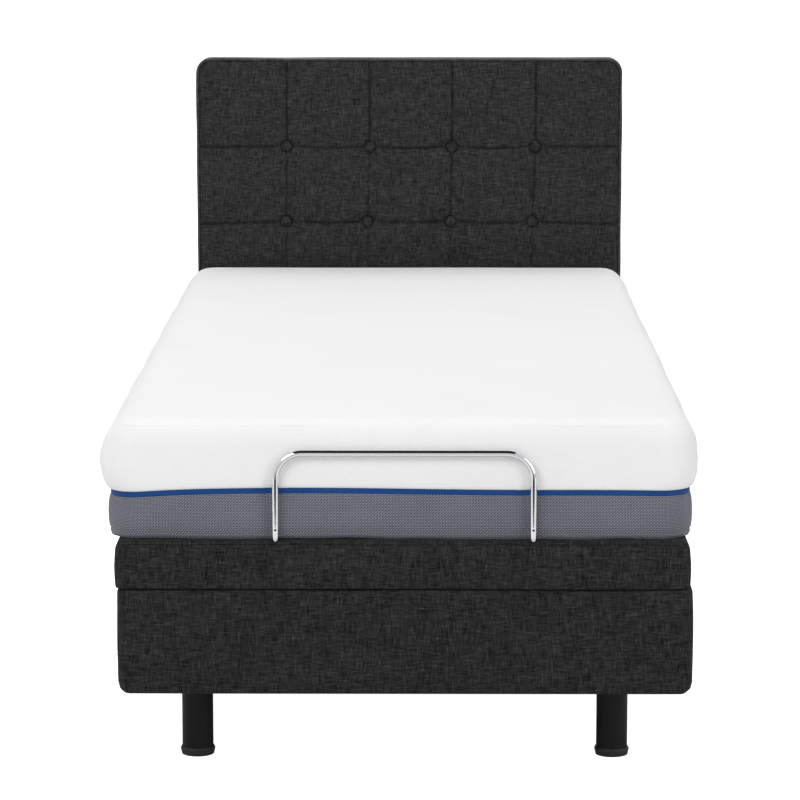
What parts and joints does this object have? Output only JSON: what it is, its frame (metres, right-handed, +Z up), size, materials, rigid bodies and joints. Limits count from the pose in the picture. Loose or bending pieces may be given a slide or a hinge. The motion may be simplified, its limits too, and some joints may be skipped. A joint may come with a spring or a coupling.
{
  "type": "adjustable bed",
  "caption": "Single adjustable bed with upholstered surround and deck, motor-lifted back, thigh and calf sections, mattress, retainer bar and tufted headboard.",
  "frame": {"origin": "on the floor under the middle of the bed's length and width", "axes": "+Z up, +Y towards the headboard, +X to the right when looking from the foot end to the headboard"},
  "size_m": [0.92, 2.073, 0.998],
  "materials": {
    "leg_paint": "satin black powder coat",
    "foot_rubber": "matte",
    "zinc_steel": "zinc plated",
    "surround_fabric": "charcoal linen weave",
    "deck_fabric": "charcoal linen weave",
    "headboard_fabric": "charcoal linen weave, tufted",
    "plywood": "raw birch plywood",
    "mattress_cover": "white quilted knit with a grey mesh border",
    "chrome_bar": "polished",
    "drive_plastic": "fine grained black",
    "rod_steel": "ground",
    "frame_paint": "black powder coat"
  },
  "bodies": {
    "base": {"leg_foot_left": "leg_paint", "leg_foot_right": "leg_paint", "leg_head_left": "leg_paint", "leg_head_right": "leg_paint", "leg_caps": "foot_rubber", "leg_plates": "frame_paint", "leg_bolts": "zinc_steel", "cross_member_foot": "frame_paint", "cross_member_thigh": "frame_paint", "cross_member_back": "frame_paint", "cross_member_head": "frame_paint", "frame_rail_left": "frame_paint", "frame_rail_right": "frame_paint", "foot_panel": "surround_fabric", "head_panel": "surround_fabric", "left_panel": "surround_fabric", "right_panel": "surround_fabric", "seat_posts": "frame_paint", "seat_rails": "frame_paint", "seat_board": "plywood", "seat_pad": "deck_fabric", "hinge_brackets": "frame_paint", "hinge_pins": "zinc_steel", "actuator_brackets": "frame_paint", "bracket_pins": "zinc_steel", "stay_brackets": "frame_paint", "headboard_board": "plywood", "headboard_pad": "headboard_fabric", "headboard_buttons": "headboard_fabric", "headboard_struts": "frame_paint", "headboard_bolts": "zinc_steel", "control_box": "drive_plastic", "mattress_seat": "mattress_cover"},
    "back": {"back_board": "plywood", "back_pad": "deck_fabric", "back_rails": "frame_paint", "back_lever": "frame_paint", "back_hinge_plates": "frame_paint", "mattress_back": "mattress_cover"},
    "thigh": {"thigh_board": "plywood", "thigh_pad": "deck_fabric", "thigh_rails": "frame_paint", "thigh_lever": "frame_paint", "thigh_hinge_plates": "frame_paint", "thigh_knee_plates": "frame_paint", "mattress_thigh": "mattress_cover"},
    "calf": {"calf_board": "plywood", "calf_pad": "deck_fabric", "calf_rails": "frame_paint", "calf_knee_plates": "frame_paint", "link_brackets": "frame_paint", "retainer_bar": "chrome_bar", "mattress_calf": "mattress_cover"},
    "stay_links": {"stay_links": "frame_paint"},
    "back_drive": {"back_motor": "drive_plastic", "back_motor_tube": "drive_plastic"},
    "back_drive_rod": {"back_rod": "rod_steel"},
    "leg_drive": {"leg_motor": "drive_plastic", "leg_motor_tube": "drive_plastic"},
    "leg_drive_rod": {"leg_rod": "rod_steel"}
  },
  "joints": [
    {"name": "back_hinge", "type": "hinge", "parent": "base", "child": "back", "pos_m": [0, 0.1925, 0.361], "axis": [1, 0, 0], "range_deg": [0, 60]},
    {"name": "thigh_hinge", "type": "hinge", "parent": "base", "child": "thigh", "pos_m": [0, -0.0635, 0.361], "axis": [-1, 0, 0], "range_deg": [0, 35]},
    {"name": "knee_hinge", "type": "hinge", "parent": "thigh", "child": "calf", "pos_m": [0, -0.4435, 0.3], "axis": [1, 0, 0], "range_deg": [0, 35]},
    {"name": "stay_link_hinge", "type": "hinge", "parent": "base", "child": "stay_links", "pos_m": [0, -0.1035, 0.251], "axis": [-1, 0, 0], "range_deg": [0, 35]},
    {"name": "back_drive_pivot", "type": "hinge", "parent": "base", "child": "back_drive", "pos_m": [-0.11, -0.3465, 0.215], "axis": [1, 0, 0], "range_deg": [-3.2, 0]},
    {"name": "back_rod_slide", "type": "slide", "parent": "back_drive", "child": "back_drive_rod", "axis": [0, 0.999, 0.0452], "range_m": [0, 0.156]},
    {"name": "leg_drive_pivot", "type": "hinge", "parent": "base", "child": "leg_drive", "pos_m": [0.11, 0.4135, 0.207], "axis": [-1, 0, 0], "range_deg": [-0.5, 0]},
    {"name": "leg_rod_slide", "type": "slide", "parent": "leg_drive", "child": "leg_drive_rod", "axis": [0, -0.9999, -0.0137], "range_m": [0, 0.104]}
  ],
  "couplings": [
    {"joint": "knee_hinge", "follows": "thigh_hinge", "ratio": 1},
    {"joint": "stay_link_hinge", "follows": "thigh_hinge", "ratio": 1},
    {"joint": "back_drive_pivot", "follows": "back_hinge", "ratio": -0.0485},
    {"joint": "back_rod_slide", "follows": "back_hinge", "m_per_rad": 0.14706},
    {"joint": "leg_drive_pivot", "follows": "thigh_hinge", "ratio": -0.0096},
    {"joint": "leg_rod_slide", "follows": "thigh_hinge", "m_per_rad": 0.16599}
  ]
}
